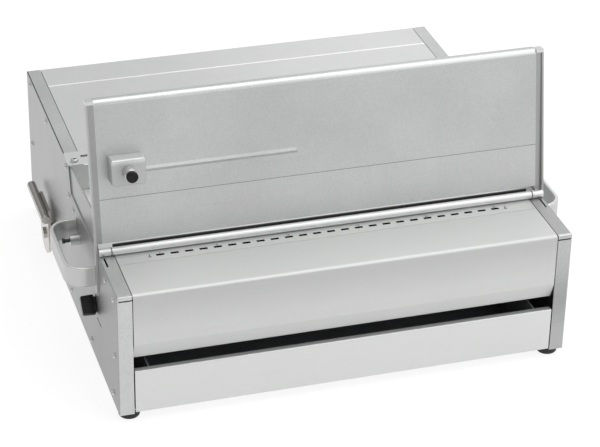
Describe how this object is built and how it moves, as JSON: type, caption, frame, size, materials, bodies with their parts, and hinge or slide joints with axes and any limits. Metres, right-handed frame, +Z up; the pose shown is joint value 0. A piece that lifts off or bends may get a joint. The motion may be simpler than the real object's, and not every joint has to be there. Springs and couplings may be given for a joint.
{
  "type": "electric comb-binding punch",
  "caption": "Heavy desk-top electric punch for comb binding: sheet-metal case, leaning backrest with edge guide, paper throat, pull-out die set and chip drawer.",
  "frame": {"origin": "on the table under the middle of the case", "axes": "+X to the machine's right-hand side, -Y the front where the chip drawer is, +Z up"},
  "size_m": [0.515, 0.436, 0.2906],
  "materials": {
    "panel_steel": "brushed, satin",
    "cover_steel": "fine brushed, satin",
    "back_steel": "fine brushed, satin",
    "bar_steel": "polished",
    "dark_steel": "satin",
    "inner_steel": "zinc plated",
    "handle_steel": "satin",
    "lever_steel": "polished stainless",
    "screw_steel": "turned",
    "tool_steel": "ground",
    "frame_iron": "painted",
    "motor_black": "satin black",
    "bronze": "turned",
    "black_plastic": "fine grain",
    "grey_plastic": "fine grain",
    "foot_rubber": "matte",
    "belt_rubber": "matte",
    "board": "solder mask"
  },
  "bodies": {
    "case": {"side_panel_left": "panel_steel", "side_panel_right": "panel_steel", "front_cover": "cover_steel", "scale_strip": "cover_steel", "throat_bar": "bar_steel", "throat_bar_ends": "screw_steel", "throat_guide": "back_steel", "throat_plate": "back_steel", "backrest_panel": "back_steel", "backrest_end_left": "dark_steel", "backrest_end_right": "dark_steel", "backrest_caps": "screw_steel", "gusset_right": "panel_steel", "gusset_left": "panel_steel", "carry_handle_right": "handle_steel", "carry_handle_left": "handle_steel", "base_plate": "inner_steel", "feet": "foot_rubber", "middle_deck": "cover_steel", "cross_rail": "cover_steel", "rail_screws": "screw_steel", "rear_cover": "cover_steel", "rear_panel": "panel_steel", "panel_screws": "screw_steel", "cheek_left": "frame_iron", "cheek_right": "frame_iron", "bearings": "bronze", "die_bed": "inner_steel", "spring_brackets": "inner_steel", "return_springs": "screw_steel", "gearbox": "frame_iron", "motor": "motor_black", "drive_belt": "belt_rubber", "control_board": "board", "lever_bush": "bronze", "plunger_barrel": "screw_steel", "power_inlet": "black_plastic", "switch_housing": "black_plastic", "pedal_socket": "black_plastic"},
    "drawer": {"drawer_front": "cover_steel", "chip_tray": "inner_steel"},
    "edge_guide": {"guide_block": "screw_steel", "guide_clamp": "inner_steel"},
    "clamp_knob": {"guide_knob": "screw_steel", "guide_knob_cap": "black_plastic"},
    "dial": {"margin_dial": "black_plastic", "dial_shaft": "tool_steel"},
    "die_set": {"die_front_plate": "tool_steel", "die_guide_plate": "tool_steel", "die_pull": "panel_steel"},
    "paper_stop": {"margin_stop": "inner_steel"},
    "pins": {"punch_pins": "tool_steel"},
    "ram": {"ram": "tool_steel"},
    "crankshaft": {"drive_shaft": "tool_steel", "eccentrics": "tool_steel"},
    "flywheel": {"flywheel": "frame_iron"},
    "motor_rotor": {"motor_pulley": "tool_steel"},
    "lever": {"lock_lever": "lever_steel"},
    "plunger": {"latch_plunger": "screw_steel"},
    "switch_rocker": {"rocker": "grey_plastic"}
  },
  "joints": [
    {"name": "drawer_slide", "type": "slide", "parent": "case", "child": "drawer", "axis": [0, -1, 0], "range_m": [0, 0.13]},
    {"name": "guide_slide", "type": "slide", "parent": "case", "child": "edge_guide", "axis": [1, 0, 0], "range_m": [0, 0.15]},
    {"name": "knob_turn", "type": "hinge", "parent": "edge_guide", "child": "clamp_knob", "pos_m": [-0.196, -0.1199, 0.2234], "axis": [0, -0.9864, 0.1643], "range_deg": [0, 180]},
    {"name": "dial_turn", "type": "hinge", "parent": "case", "child": "dial", "pos_m": [-0.235, -0.1195, 0.0747], "axis": [1, 0, 0], "range_deg": [0, 270]},
    {"name": "stop_lift", "type": "slide", "parent": "die_set", "child": "paper_stop", "axis": [0, 0, 1], "range_m": [0, 0.004]},
    {"name": "die_slide", "type": "slide", "parent": "case", "child": "die_set", "axis": [1, 0, 0], "range_m": [0, 0.4]},
    {"name": "shaft_turn", "type": "hinge", "parent": "case", "child": "crankshaft", "pos_m": [0, -0.00585, 0.086], "axis": [1, 0, 0], "range_deg": [0, 180]},
    {"name": "ram_slide", "type": "slide", "parent": "case", "child": "ram", "axis": [0, -1, 0], "range_m": [0, 0.01], "deforming": ["return_springs"]},
    {"name": "pins_slide", "type": "slide", "parent": "die_set", "child": "pins", "axis": [0, -1, 0], "range_m": [0, 0.01]},
    {"name": "flywheel_spin", "type": "hinge", "parent": "case", "child": "flywheel", "pos_m": [0.016, 0.05, 0.062], "axis": [1, 0, 0], "continuous": true},
    {"name": "rotor_spin", "type": "hinge", "parent": "case", "child": "motor_rotor", "pos_m": [0.016, 0.16, 0.066], "axis": [1, 0, 0], "continuous": true},
    {"name": "lever_turn", "type": "hinge", "parent": "case", "child": "lever", "pos_m": [-0.2325, 0.104, 0.032], "axis": [1, 0, 0], "range_deg": [0, 50]},
    {"name": "plunger_slide", "type": "slide", "parent": "case", "child": "plunger", "axis": [-1, 0, 0], "range_m": [0, 0.005], "stiffness_N_per_m": 900, "springref_m": -0.004},
    {"name": "rocker_tilt", "type": "hinge", "parent": "case", "child": "switch_rocker", "pos_m": [-0.126, 0.209, 0.042], "axis": [1, 0, 0], "range_deg": [0, 16]}
  ],
  "couplings": [
    {"joint": "dial_turn", "follows": "stop_lift", "rad_per_m": 1178.1},
    {"joint": "shaft_turn", "follows": "ram_slide", "rad_per_m": 314.16},
    {"joint": "pins_slide", "follows": "ram_slide", "ratio": 1},
    {"joint": "rotor_spin", "follows": "flywheel_spin", "ratio": 3.0667}
  ]
}
